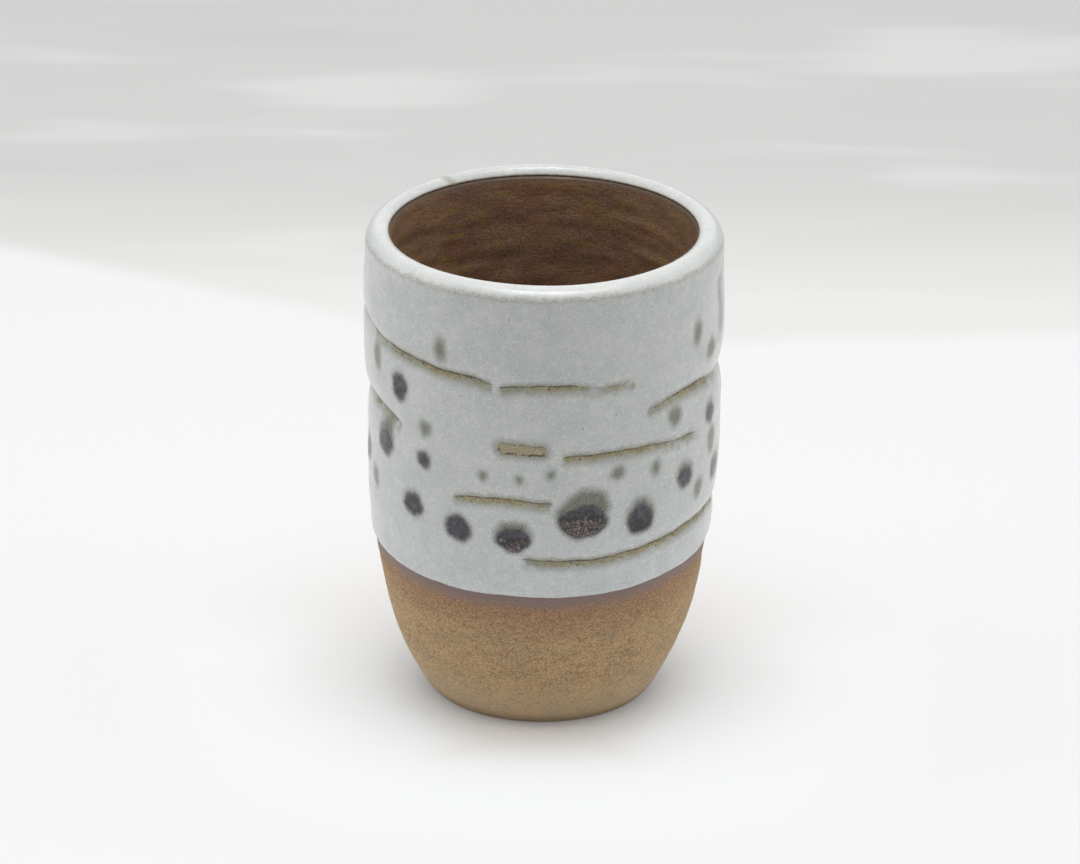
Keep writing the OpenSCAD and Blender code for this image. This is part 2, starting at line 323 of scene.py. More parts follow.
WALL_CURVE = np.concatenate([
    bezier(WALL, np.linspace(FOOT_END_SHARE, 1, 400)),
    [(CLAY_R - MOUTH_IN * t**2, BELLY_Z + (SHOULDER_Z - BELLY_Z) * t) for t in np.linspace(0.02, 1, 40)],
])


def wall_r(z):
    return np.interp(z, WALL_CURVE[:, 1], WALL_CURVE[:, 0])


def on_wall(azimuth, z, r):
    """Points in space from azimuths in degrees, heights and radii."""
    a, z, r = np.broadcast_arrays(np.radians(azimuth), z, r)
    return np.stack([r * np.sin(a), -r * np.cos(a), z], axis=-1)


def turned(profile):
    """Grid of points round the cup from a profile of radius and height."""
    return on_wall(AZIMUTHS, profile[:, 1:], profile[:, :1])


def dip_z(azimuth):
    """Height of the glaze's lower edge."""
    a = np.radians(azimuth)
    drift = 0.10 * np.sin(3 * a + 0.7) + 0.09 * np.sin(7 * a + 2.1) + 0.06 * np.sin(13 * a + 4.0)
    fine = 0.03 * np.sin(29 * a + 1.3) + 0.02 * np.sin(47 * a + 0.2)
    return DIP_Z - DIP_FALL * np.cos(a) + drift + fine


def ledge_at(ledge, azimuth):
    """Height of a ledge's edge, its depth from 0 to 1, and the strength of its brown and tan."""
    first, last = ledge["line"][0][0], ledge["line"][-1][0]
    middle = (first + last) / 2
    az = wrapped(azimuth - middle) + middle
    a = np.radians(az)
    line_z = through(ledge["line"], az)
    line_z = line_z + 0.07 * np.sin(23 * a + first) + 0.05 * np.sin(41 * a + last)
    fade_in, fade_out = ledge["ends"]
    depth = ramp(az, first, first + fade_in) * (1 - ramp(az, last - fade_out, last))
    ends = ramp(az, first, first + 4) * (1 - ramp(az, last - 4, last))
    brown = np.interp(az, *zip(*ledge["brown"]), left=0, right=0) * ends
    tan = np.interp(az, *zip(*ledge["tan"]), left=0, right=0) * ends
    return line_z, depth, brown, tan


def ledge_relief(azimuth, z):
    total = np.zeros(np.broadcast(azimuth, z).shape)
    for ledge in LEDGES:
        line_z, depth, _, _ = ledge_at(ledge, azimuth)
        h = z - line_z
        above = -ledge["inset"] * (1 - np.clip(h / ledge["rise"], 0, 1)) ** 2.2
        rounding = -0.2 * np.exp(-np.maximum(h, 0) / 0.3)
        below = -(ledge["inset"] + ledge["drop"]) * (1 - np.clip(-h / ledge["run"], 0, 1)) ** 2
        total += depth * (below + (above + rounding - below) * ramp(h, -0.16, 0.06))
    return total


def patch_distance(azimuth, z):
    """Distance from the outline of the bare patch, negative inside it."""
    u = np.radians(wrapped(azimuth - PATCH_AZIMUTH)) * CUP_R
    v = z - PATCH_Z + 0.05 * u
    past_side = np.abs(u) - (PATCH_HALF_W - PATCH_CORNER_R)
    past_end = np.abs(v) - (PATCH_HALF_H - PATCH_CORNER_R)
    out = np.stack(np.broadcast_arrays(past_side, past_end))
    outside = np.hypot(*np.maximum(out, 0))
    return outside + np.minimum(out.max(axis=0), 0) - PATCH_CORNER_R


def past_nick(azimuth, z):
    """Degrees past the upright nick, and how strong the nick is at that height."""
    past = wrapped(azimuth - through(NICK_LINE, z, 0.6))
    return past, ramp(z, 73.5, 77) * (1 - ramp(z, 84.5, 88.5))


def past_lip_cut(azimuth, z):
    """Degrees past the cut through the lip."""
    return wrapped(azimuth - through(LIP_CUT_LINE, z, 0.5))


def form(azimuth, z):
    """How far the wall stands out from its thrown outline."""
    past, strength = past_nick(azimuth, z)
    dip = np.where(past < 0, (1 - np.clip(-past / 18, 0, 1)) ** 2, 1 - ramp(past, 0, 2.7))
    nick = -NICK_D * strength * dip
    past = past_lip_cut(azimuth, z)
    lip_cut = -LIP_CUT_D * ramp(z, 84, 91) * ramp(past, -0.6, 1.2) * (1 - ramp(past, 3, 38))
    patch = -PATCH_D * (1 - ramp(patch_distance(azimuth, z), -0.35, 0.25))
    space = on_wall(azimuth, z, CUP_R)
    drift = 0.10 * waves(space, 42, 3, (1, 1, 1.6)) + 0.035 * waves(space, 13, 4, (1, 1, 2.2))
    lean = through(LEAN_LEFT, z, 1.0) * bell(wrapped(azimuth + 90), 0, LEAN_SPREAD)
    lean = lean + through(LEAN_RIGHT, z, 1.0) * bell(wrapped(azimuth - 90), 0, LEAN_SPREAD)
    return ledge_relief(azimuth, z) + nick + lip_cut + patch + drift + lean


def adaptive_rows(low, rows, spacing, ledge_rows):
    """Heights from low to the lip in each column, closer together along the ledges."""
    share = np.linspace(0, 1, 1400)[:, None] * np.ones(COLUMNS)
    z = low + (SHOULDER_Z - low) * share
    density = np.full(z.shape, 1 / spacing)
    for ledge in LEDGES:
        line_z, depth, _, _ = ledge_at(ledge, AZIMUTHS)
        density += ledge_rows * depth * bell(z, line_z, 0.7)
    total = np.cumsum(density, axis=0)
    total = (total - total[0]) / (total[-1] - total[0])
    steps = np.linspace(0, 1, rows)
    return np.stack([np.interp(steps, total[:, i], z[:, i]) for i in range(COLUMNS)], axis=1)


# Oxide spots

def spot_outline(turn, spot):
    """Radius of a spot's uneven outline, as a share of its radius."""
    key = spot[0] + 400 * spot[1]
    outline = 1.14 + 0.06 * np.sin(2 * turn + key) + 0.04 * np.sin(3 * turn + 2.3 * key)
    return outline + 0.035 * np.sin(5 * turn + 3.7 * key) + 0.02 * np.sin(9 * turn + 5.1 * key)


def spot_distance(azimuth, z, spot):
    """Distance from a spot's outline, negative inside, and the height above its middle."""
    spot_az, z_share, r_share, stretch = spot[:4]
    u = np.radians(wrapped(azimuth - spot_az)) * CUP_R
    v = (z - z_share * CUP_H) / stretch
    return np.hypot(u, v) - r_share * SPOT_R * spot_outline(np.arctan2(v, u), spot), v


def wall_fields(azimuth, z):
    """Everything that the wall's materials need to know at each point, in millimetres or from 0 to 1."""
    azimuth, z = np.broadcast_arrays(azimuth, z)
    fields = {name: np.full(z.shape, FIELD_REACH) for name in ("line_h", "oxide_d", "core_d", "olive_d")}
    fields.update({name: np.zeros(z.shape) for name in ("line_brown", "line_tan", "crust")})
    nearest = np.full(z.shape, np.inf)
    for ledge in LEDGES:
        line_z, depth, brown, tan = ledge_at(ledge, azimuth)
        h = z - line_z
        away = np.abs(h) + 2 * FIELD_REACH * (depth == 0)
        near = away < nearest
        window = 1 - ramp(np.abs(h), FIELD_REACH - 0.7, FIELD_REACH - 0.2)
        nearest = np.where(near, away, nearest)
        here = {"line_brown": brown * window, "line_tan": tan * window}
        here["line_h"] = np.clip(h, -FIELD_REACH, FIELD_REACH)
        for name, values in here.items():
            fields[name] = np.where(near, values, fields[name])
    for spot in DARK_SPOTS:
        d, v = spot_distance(azimuth, z, spot)
        radius = spot[2] * SPOT_R
        core = d + spot[4] * 1.1 * np.maximum(0, v + 0.25 * radius)
        crust = spot[5] * (1 - ramp(d, -0.7, -0.1)) * (1 - ramp(v, -0.45 * radius, 0.15 * radius))
        fields["oxide_d"] = np.minimum(fields["oxide_d"], d)
        fields["core_d"] = np.minimum(fields["core_d"], core)
        fields["crust"] = np.maximum(fields["crust"], crust)
    for spot in OLIVE_SPOTS:
        d, _ = spot_distance(azimuth, z, spot)
        fields["olive_d"] = np.minimum(fields["olive_d"], d)
    fields["patch_d"] = np.minimum(patch_distance(azimuth, z), FIELD_REACH)
    past, strength = past_nick(azimuth, z)
    # Painted shade: a grey band just past the upright nick, where the wall beyond it faces away from the
    # light
    fields["nick"] = strength * ramp(past, -0.5, 0.5) * (1 - ramp(past, 2, 9))
    fields["cut"] = ramp(z, 89, 92) * bell(past_lip_cut(azimuth, z), 0.5, 1.6)
    return fields


# Meshes

def grid_part(grid, fields=None, poles=False):
    """Points, faces and fields of a grid whose columns go round. Its rows go round too, or with
    poles its first and last rows are single points."""
    rows, cols = grid.shape[:2]
    ring = np.arange(rows * cols).reshape(rows, cols)
    take = ring.ravel()
    lower, upper = ring, np.roll(ring, -1, axis=0)
    if poles:
        take = np.concatenate([ring[0, :1], ring[1:-1].ravel(), ring[-1, :1]])
        ring = ring[1:-1] - cols + 1
        lower, upper = ring[:-1], ring[1:]
    quads = np.stack([lower, np.roll(lower, -1, 1), np.roll(upper, -1, 1), upper], axis=-1).reshape(-1, 4)
    faces = quads.tolist()
    if poles:
        last = len(take) - 1
        faces += [(0, b, a) for a, b in zip(ring[0], np.roll(ring[0], -1))]
        faces += [(last, a, b) for a, b in zip(ring[-1], np.roll(ring[-1], -1))]
    points = grid.reshape(-1, 3)[take]
    a, b, c, d = (points[quads[:, i]] for i in range(4))
    volume = (np.cross(a, b) * c).sum() + (np.cross(a, c) * d).sum()
    if volume < 0:
        faces = [f[::-1] for f in faces]
    picked = {name: values.reshape(-1)[take] for name, values in (fields or {}).items()}
    return points, faces, picked


def placed(name, data):
    """A new object of that mesh, lamp or camera in the scene."""
    made = bpy.data.objects.new(name, data)
    bpy.context.scene.collection.objects.link(made)
    return made


def piece(name, parts, material, slot, *nodes):
    """One object from grid parts, riding on the cup in place of its CAD nodes."""
    points, faces, start = [], [], 0
    for part_points, part_faces, _ in parts:
        points.append(part_points)
        faces += [[i + start for i in f] for f in part_faces]
        start += len(part_points)
    mesh = bpy.data.meshes.new(name)
    mesh.from_pydata((np.concatenate(points) * MM).tolist(), [], faces)
    mesh.polygons.foreach_set("use_smooth", [True] * len(mesh.polygons))
    for field in parts[0][2]:
        values = np.concatenate([p[2][field] for p in parts]).astype(np.float32)
        mesh.attributes.new(field, "FLOAT", "POINT").data.foreach_set("value", values)
    mesh.materials.append(material)
    mesh.update()
    made = placed(name, mesh)
    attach(made, "root")
    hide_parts(*nodes)


def lip_outer(angle, coat):
    """Radius and height on the outer rounding of the lip, at an angle from its shoulder."""
    a = np.radians(angle)
    return CROWN_R + (LIP_ROUND + coat) * np.cos(a), SHOULDER_Z + (LIP_ROUND + coat) * np.sin(a)


def lip_inner(angle, coat):
    """Radius and height on the inner rounding of the lip, at an angle from the inner wall."""
    a = np.radians(angle)
    return (
        CROWN_R - (CROWN_R - MOUTH_R + coat) * np.cos(a),
        INNER_LIP_Z + (LIP_INNER_DROP + coat) * np.sin(a),
    )


def rim_sway(azimuth):
    """How far the rim rises above its mean height."""
    a = np.radians(azimuth)
    waver = 0.12 * np.sin(a) + 0.05 * np.sin(2 * a + 0.6) + 0.04 * np.sin(3 * a + 2) - 0.07 * np.cos(a)
    return waver - FRONT_DIP * bell(wrapped(azimuth - 10), 0, 28) - RIM_DROP


def rear_lift(azimuth, angle):
    """How much higher the rear of the lip stands, at an angle up its inner side."""
    low = math.sin(math.radians(REAR_LIFT_ANGLE))
    share = np.clip((np.sin(np.radians(angle)) - low) / (1 - low), 0, 1)
    return REAR_LIFT * bell(wrapped(azimuth - 180), 0, 48) * share


def lip_rows(outer_angles, inner_angles, coat, inner_coat):
    """Grid of points over the lip, from the outer shoulder to the inner wall."""
    az = AZIMUTHS[None, :]
    sway = rim_sway(az)
    angle = np.asarray(outer_angles)[:, None]
    a = np.radians(angle)
    r, z = lip_outer(angle, coat)
    outer_sway = (sway + rear_lift(az, 90)) * np.sin(a)
    outer = on_wall(az, z + outer_sway, r + form(az, SHOULDER_Z) * np.cos(a))
    angle = np.asarray(inner_angles)[:, None]
    r, z = lip_inner(angle, np.asarray(inner_coat)[:, None])
    inner = on_wall(az, z + sway + rear_lift(az, angle), r)
    return np.concatenate([outer, inner])


def coat_at(distance):
    """Thickness of the outer glaze at a distance above its lower edge: a rolled edge, then even."""
    roll = np.sqrt(1 - (1 - np.clip(distance / EDGE_ROLL, 0, 1)) ** 2)
    return GLAZE_T * (1 + 0.22 * bell(distance, 1.0, 1.1)) * roll - 0.12 * np.exp(-distance / 0.08)


def build_outer_glaze(material):
    az = AZIMUTHS[None, :]
    edge = dip_z(az)
    edge_steps = EDGE_BAND * np.linspace(0, 1, 10)[:-1, None] ** 1.6
    z = np.concatenate([edge + edge_steps, adaptive_rows(edge[0] + EDGE_BAND, 172, 0.75, 10)])
    skin = on_wall(az, z, wall_r(z) + form(az, z) + coat_at(z - edge))
    inner_angles = np.linspace(84, GLAZE_END_ANGLE, 9)
    thinning = np.sqrt(np.clip((inner_angles - GLAZE_END_ANGLE + 1) / 14, 0.02, 1))
    lip = lip_rows(np.linspace(6, 90, 15), inner_angles, GLAZE_T, GLAZE_T * thinning)
    back_lip = lip_rows([90, 60, 30], [GLAZE_END_ANGLE, 60], -0.4, [-0.4, -0.4])
    back_z = z[::-8]
    back_wall = on_wall(az, back_z, wall_r(back_z) + form(az, back_z) - 0.2)
    back = np.concatenate([back_lip[3:], back_lip[:3], back_wall])
    grid = np.concatenate([skin, lip, back])
    fields = wall_fields(az, np.concatenate([z, lip[:, :, 2], back[:, :, 2]]))
    fields["brink"] = np.zeros(grid.shape[:2])
    last = len(z) + len(lip)
    fields["brink"][last - len(inner_angles):last] = ramp(inner_angles, 62, GLAZE_END_ANGLE)[:, None]
    piece("outer_glaze_coat", [grid_part(grid, fields)], material, "pale_glaze", "outer_glaze")


def foot_profile():
    """Radius and height from the middle of the hollow under the cup, over the foot ring, to the wall."""
    middle = [(FOOT_HOLLOW_R * share, FOOT_HOLLOW_D) for share in (0, 0.35, 0.7)]
    slope = [(FOOT_HOLLOW_R - share * FOOT_HOLLOW_D, FOOT_HOLLOW_D) for share in (2.4, 0.5)]
    hollow = bezier([*slope, (FOOT_HOLLOW_R, 0)], np.linspace(0, 1, 9))
    ring = [(FOOT_HOLLOW_R + share * FOOT_RING_W, 0) for share in (0.35, 0.7)]
    edge = bezier([(FOOT_R - FOOT_ROUND, 0), (FOOT_R, 0), WALL_CURVE[0]], np.linspace(0, 1, 9))
    return np.concatenate([middle, hollow, ring, edge[:-1]])


def build_clay(material):
    az = AZIMUTHS[None, :]
    start = WALL_CURVE[0][1]
    low_z = np.linspace(start, 35, 66)[:, None] * np.ones(COLUMNS)
    z = np.concatenate([low_z, adaptive_rows(35.6, 84, 1.1, 5)])
    space = on_wall(az, z, wall_r(z))
    tooled = 0.025 * waves(space, 3.0, 11, (0.12, 0.12, 1)) + 0.015 * waves(space, 1.9, 12)
    relief = form(az, z) + tooled * (1 - ramp(z, 33, 36))
    wall = on_wall(az, z, wall_r(z) + relief * ramp(z, start, start + 4))
    lip = lip_rows(np.linspace(12, 90, 7), [70, 45, 20, 0], 0.0, np.zeros(4))
    bowl = np.concatenate([bezier(BOWL, np.linspace(1, 0, 18)), [(FLOOR_R / 2, FLOOR_T), (0, FLOOR_T)]])
    grid = np.concatenate([turned(foot_profile()), wall, lip, turned(bowl)])
    fields = {"dip_d": np.clip(dip_z(az) - grid[:, :, 2], -3, 40)}
    piece("clay_wall_and_foot", [grid_part(grid, fields, poles=True)], material, "stoneware", "clay_body")


def liner_path():
    """Radius and height along the liner from the middle of the floor up, and the way into the cup."""
    middle = [(FLOOR_R * share, FLOOR_T) for share in (0, 0.1, 0.25, 0.4, 0.55, 0.7, 0.85)]
    upper = [(MOUTH_R, z) for z in np.linspace(INNER_BELLY_Z + 0.6, INNER_LIP_Z, 36)]
    path = np.concatenate([middle, bezier(BOWL, np.linspace(0, 1, 110)), upper])
    along = np.gradient(path, axis=0)
    inward = np.stack([-along[:, 1], along[:, 0]], axis=1)
    return path, inward / np.linalg.norm(inward, axis=1)[:, None]


def throwing_relief(path):
    """How far the rings that the thrower's fingers left stand out, which fade under the lip."""
    length = np.concatenate([[0], np.cumsum(np.linalg.norm(np.diff(path, axis=0), axis=1))])[:, None]
    z = path[:, 1:]
    space = turned(path)
    spiral = 2 * math.pi * (length - 2.2 * np.radians(AZIMUTHS)) / 6.2
    rings = 0.06 * np.sin(spiral + 0.8 * waves(space, 60, 21))
    rings = rings + 0.04 * np.sin(2 * spiral + waves(space, 40, 22))
    rings = rings * ramp(length, 3, 12) * (1 - 0.75 * ramp(z, 84, 91))
    seam = np.minimum(np.abs(wrapped(AZIMUTHS - 180)) / 40, 1)
    relief = rings * (0.3 + 0.7 * seam) + 0.05 * waves(space, 9, 23, (1, 1, 2))
    return relief * (1 - ramp(z, 88, INNER_LIP_Z))


def build_liner(material):
    path, inward = liner_path()
    offset = LINER_T + throwing_relief(path)
    skin = on_wall(AZIMUTHS, path[:, 1:] + inward[:, 1:] * offset, path[:, :1] + inward[:, :1] * offset)
    angles = np.linspace(5, GLAZE_END_ANGLE + 6, 8)[:, None]
    r, z = lip_inner(angles, LINER_T * (1 - np.linspace(0, 1, 8)[:, None] ** 3) - 0.02)
    lip = on_wall(AZIMUTHS, z + rim_sway(AZIMUTHS) * ramp(angles, -10, 30), r)
    back = np.concatenate([path[::-12], [(0, FLOOR_T)]]) - 0.5 * np.concatenate([inward[::-12], [(0, 1)]])
    back[:, 0] = np.maximum(back[:, 0], 0)
    grid = np.concatenate([skin, lip, turned(back)])
    grid[0] = grid[0].mean(axis=0)
    grid[-1] = grid[-1].mean(axis=0)
    piece("liner_coat", [grid_part(grid, poles=True)], material, "brown_glaze", "liner_glaze")


def spot_part(spot, margin, crust_height):
    """One plug of oxide glaze, flush with the wall, its rim sunk just under the pale coat."""
    spot_az, z_share, r_share, stretch = spot[:4]
    spot_z = z_share * CUP_H
    radius = r_share * SPOT_R
    rings = max(8, int(4 * radius) + 4)
    turn = np.radians(np.arange(SPOT_COLUMNS) * 360 / SPOT_COLUMNS)[None, :]
    share = np.linspace(0, 1, rings)[:, None] ** 0.8
    reach = (radius * spot_outline(turn, spot) + margin) * share
    az = spot_az + np.degrees(reach * np.cos(turn) / CUP_R)
    z = spot_z + stretch * reach * np.sin(turn)
    space = on_wall(az, z, CUP_R)
    grain = waves(space, 0.55, 31) + 0.7 * waves(space, 0.32, 32)
    back_share = np.array([0.9, 0.45, 0])[:, None]
    az = np.concatenate([az, spot_az + (az[-1:] - spot_az) * back_share])
    z = np.concatenate([z, spot_z + (z[-1:] - spot_z) * back_share])
    fields = wall_fields(az, z)
    dome = 0.022 * (1 - ramp(share, 0.3, 0.9)) + 0.014 - 0.05 * ramp(share, 0.62, 1)
    front = GLAZE_T + dome + crust_height * fields["crust"][:rings] * grain
    back = np.full((len(back_share), SPOT_COLUMNS), 0.08)
    grid = on_wall(az, z, wall_r(z) + form(az, z) + np.concatenate([front, back]))
    return grid_part(grid, fields, poles=True)


def build_spots(name, spots, margin, crust_height, material, slot, node):
    parts = [spot_part(spot, margin, crust_height) for spot in spots]
    piece(name, parts, material, slot, node)


# Materials

def paint(red, green, blue):
    """A colour written as it shows on a screen, from 0 to 255, for a shader's socket."""
    linear = [
        c / 12.92 if c <= 0.04045 else ((c + 0.055) / 1.055) ** 2.4
        for c in (red / 255, green / 255, blue / 255)
    ]
    return (*linear, 1)


class Nodes:
    """The nodes of a material or of the world."""

    def __init__(self, tree):
        self.tree = tree

    def node(self, kind):
        return self.tree.nodes.new("ShaderNode" + kind)

    def fill(self, node, inputs):
        """Set a node's inputs to values, or link them to sockets, and return its outputs."""
        for key, value in inputs.items():
            if isinstance(value, bpy.types.NodeSocket):
                self.tree.links.new(value, node.inputs[key])
            else:
                node.inputs[key].default_value = value
        return node.outputs

    def math(self, operation, a, b=0.0):
        node = self.node("Math")
        node.operation = operation
        return self.fill(node, {0: a, 1: b})["Value"]

    def add(self, a, b):
        return self.math("ADD", a, b)

    def times(self, product, *others):
        for other in others:
            product = self.math("MULTIPLY", product, other)
        return product

    def total(self, first, *weighted):
        """The first value plus each of the (value, weight) pairs."""
        for value, weight in weighted:
            first = self.add(first, self.times(value, weight))
        return first

    def ramp(self, value, start, end, low=0.0, high=1.0):
        """low where value is at start, high where it is at end, and smooth in between."""
        node = self.node("MapRange")
        node.interpolation_type = "SMOOTHSTEP"
        ends = {"From Min": start, "From Max": end, "To Min": low, "To Max": high}
        return self.fill(node, {"Value": value, **ends})["Result"]

    def band(self, value, start, end, soft):
        """1 between start and end, fading to 0 over soft on both sides."""
        rising = self.ramp(value, start - soft, start + soft)
        return self.times(rising, self.ramp(value, end + soft, end - soft))

    def mix(self, share, *colours, blend="MIX"):
        """A mix of two colours, each a socket, or red, green and blue from 0 to 255."""
        node = self.node("Mix")
        node.data_type = "RGBA"
        node.blend_type = blend
        first, second = (c if isinstance(c, bpy.types.NodeSocket) else paint(*c) for c in colours)
        return self.fill(node, {"Factor": share, 6: first, 7: second})[2]

    def over(self, colour, value, start, end, strength, *rgb):
        """A colour under another, whose share grows to strength as value goes from start to end."""
        return self.mix(self.ramp(value, start, end, 0, strength), colour, rgb)


class Shader(Nodes):
    """A material's nodes, with lengths in millimetres, and the colour that they make so far."""

    def __init__(self, name):
        self.material = bpy.data.materials.new(name)
        self.material.use_nodes = True
        super().__init__(self.material.node_tree)
        self.tree.nodes.clear()
        self.surface = self.node("BsdfPrincipled")
        self.fill(self.node("OutputMaterial"), {"Surface": self.surface.outputs["BSDF"]})
        scale = self.node("VectorMath")
        scale.operation = "SCALE"
        place = self.node("TexCoord").outputs["Object"]
        self.place = self.fill(scale, {0: place, "Scale": 1 / MM})["Vector"]

    def field(self, name):
        node = self.node("Attribute")
        node.attribute_name = name
        return node.outputs["Fac"]

    def axis(self, name):
        return self.fill(self.node("SeparateXYZ"), {0: self.place})[name]

    def stretched(self, stretch, shift):
        node = self.node("VectorMath")
        node.operation = "MULTIPLY_ADD"
        return self.fill(node, {0: self.place, 1: stretch, 2: (shift, 2 * shift, -shift)})["Vector"]

    def noise(self, size, detail, shift, stretch=(1, 1, 1), roughness=0.55):
        """Smooth noise from 0 to 1 with features of about that size."""
        inputs = {
            "Vector": self.stretched(stretch, shift),
            "Scale": 1 / size,
            "Detail": detail,
            "Roughness": roughness,
        }
        return self.fill(self.node("TexNoise"), inputs)["Fac"]

    def swing(self, *noise):
        """The same noise, from -0.5 to 0.5."""
        return self.add(self.noise(*noise), -0.5)

    def specks(self, size, shift, edge, few):
        """Dots scattered about that far apart. edge: distances from a dot's middle where it ends and
        where it is full. few: range of the dots' random numbers over which they begin to show."""
        inputs = {"Vector": self.stretched((1, 1, 1), shift), "Scale": 1 / size}
        dots = self.fill(self.node("TexVoronoi"), inputs)
        return self.times(self.ramp(dots["Distance"], *edge), self.ramp(dots["Color"], *few))

    def bump(self, height, depth, *before):
        """Bump whose height of 1 stands that many millimetres out, on top of the one before."""
        inputs = {"Height": height, "Strength": 1.0, "Distance": depth * MM}
        inputs.update({"Normal": normal for normal in before})
        return self.fill(self.node("Bump"), inputs)["Normal"]

    def lay(self, colour, *shares):
        """Lay a colour over the material's own, by the product of the shares."""
        self.colour = self.mix(self.times(*shares), self.colour, colour)

    def wash(self, *over):
        """Lay a colour over the material's own by how far a value has come, as over does."""
        self.colour = self.over(self.colour, *over)

    def finish(self, inputs):
        self.fill(self.surface, {"Base Color": self.colour, **inputs})
        return self.material


def clay_material():
    """Sandy stoneware: golden brown with fine grains, tooled level, flashed purple under the glaze."""
    s = Shader("stoneware_bare")
    level = (1, 1, 2.4)
    s.colour = s.mix(s.ramp(s.noise(8, 3, 1, level), 0.35, 0.65), (205, 174, 132), (185, 160, 124))
    s.wash(s.noise(2.2, 4, 2, level), 0.46, 0.62, 0.45, 172, 155, 126)
    s.wash(s.noise(1.5, 3, 9, level), 0.52, 0.66, 0.6, 225, 179, 124)
    s.wash(s.noise(2.8, 3, 10, level), 0.53, 0.66, 0.5, 161, 126, 102)
    grit = s.noise(0.40, 3, 3, (1, 1, 1.4), 0.75)
    s.wash(grit, 0.49, 0.63, 0.72, 236, 198, 144)
    s.wash(grit, 0.49, 0.35, 0.66, 117, 92, 69)
    s.wash(s.axis("Z"), 14, 1, 0.55, 210, 190, 156)
    # Painted shade: the clay darkens over its lowest 3 mm, where the foot turns under and meets its shadow
    # on the floor
    s.wash(s.axis("Z"), 3.0, 0.3, 0.5, 140, 116, 90)
    below = s.total(s.field("dip_d"), (s.swing(1.8, 3, 5), 1.8))
    toast = s.mix(s.ramp(grit, 0.4, 0.6), (143, 106, 81), (198, 150, 108))
    s.lay(toast, s.ramp(below, 12.0, 1.5, 0, 0.66))
    flash = s.ramp(s.total(below, (s.add(grit, -0.5), 2.0)), 3.9, 0.7)
    s.lay((152, 132, 129), flash, 0.85)
    dark = s.specks(0.8, 6, (0.24, 0.12), (0.66, 0.72))
    s.lay((84, 72, 60), dark, s.ramp(flash, 0.9, 0.2, 0, 0.7))
    normal = s.bump(s.noise(0.34, 3, 7, (1, 1, 1), 0.7), 0.10)
    normal = s.bump(s.noise(1.3, 2, 8, (0.3, 0.3, 1)), 0.12, normal)
    polish = s.ramp(flash, 0, 1, 0.84, 0.62)
    matt = {"Diffuse Roughness": 1.0, "Specular IOR Level": 0.6}
    return s.finish({"Roughness": polish, "Normal": normal, **matt})


class GlazeShader(Shader):
    """A shader with the noises that all marks in the pale glaze share."""

    def __init__(self, name):
        super().__init__(name)
        self.mottle = self.noise(1.3, 3, 12)
        self.grain = self.noise(0.27, 2, 14)
        self.fine = self.add(self.grain, -0.5)
        self.fray = self.swing(0.85, 3, 13)
        self.coarse = self.swing(2.2, 2, 17)


def plain_glaze(s):
    """The glaze itself: clouds, a bluer lower part, mottling, grain and a few dark specks."""
    cloud = s.noise(11, 3, 11, (1, 1, 1.8))
    veil = s.noise(4.0, 3, 10, (1, 1, 0.7))
    s.colour = s.mix(s.ramp(cloud, 0.3, 0.7), (213, 215, 213), (204, 207, 206))
    s.wash(s.axis("Z"), 54, 36, 0.4, 212, 218, 219)
    s.wash(veil, 0.46, 0.68, 0.45, 198, 201, 200)
    s.wash(s.mottle, 0.44, 0.70, 0.36, 194, 198, 197)
    s.wash(s.mottle, 0.44, 0.30, 0.36, 230, 233, 232)
    s.wash(s.grain, 0.52, 0.74, 0.6, 244, 246, 244)
    s.wash(s.grain, 0.46, 0.28, 0.5, 178, 181, 178)
    speck = s.specks(2.9, 15, (0.10, 0.04), (0.60, 0.64))
    s.lay((112, 112, 102), speck, 0.5)


def glaze_lip(s, shoulder):
    """The lip, palest at the front as a painted highlight, with a worn line below it and a brown inner
    edge, and the cuts, with painted shade just past the upright nick.
    """
    lip = s.ramp(shoulder, SHOULDER_Z + 0.2, SHOULDER_Z + 1.4)
    s.lay((238, 239, 236), lip, 0.16)
    # Painted highlight: the lip is paler towards the front
    s.lay((246, 247, 245), lip, s.ramp(s.axis("Y"), -12, -30, 0, 0.2))
    worn = s.times(s.band(shoulder, SHOULDER_Z + 0.2, SHOULDER_Z + 1.1, 0.4), s.ramp(s.grain, 0.46, 0.58))
    s.lay((156, 153, 132), worn, 0.7)
    brink = s.total(s.field("brink"), (s.fray, 0.3))
    s.wash(brink, 0.45, 0.9, 0.8, 146, 134, 110)
    s.wash(brink, 0.7, 1.05, 0.95, 90, 73, 56)
    s.lay((150, 148, 120), s.field("cut"), 0.6)
    # Painted shade just past the upright nick
    s.lay((168, 170, 170), s.field("nick"), 0.5)
    return lip


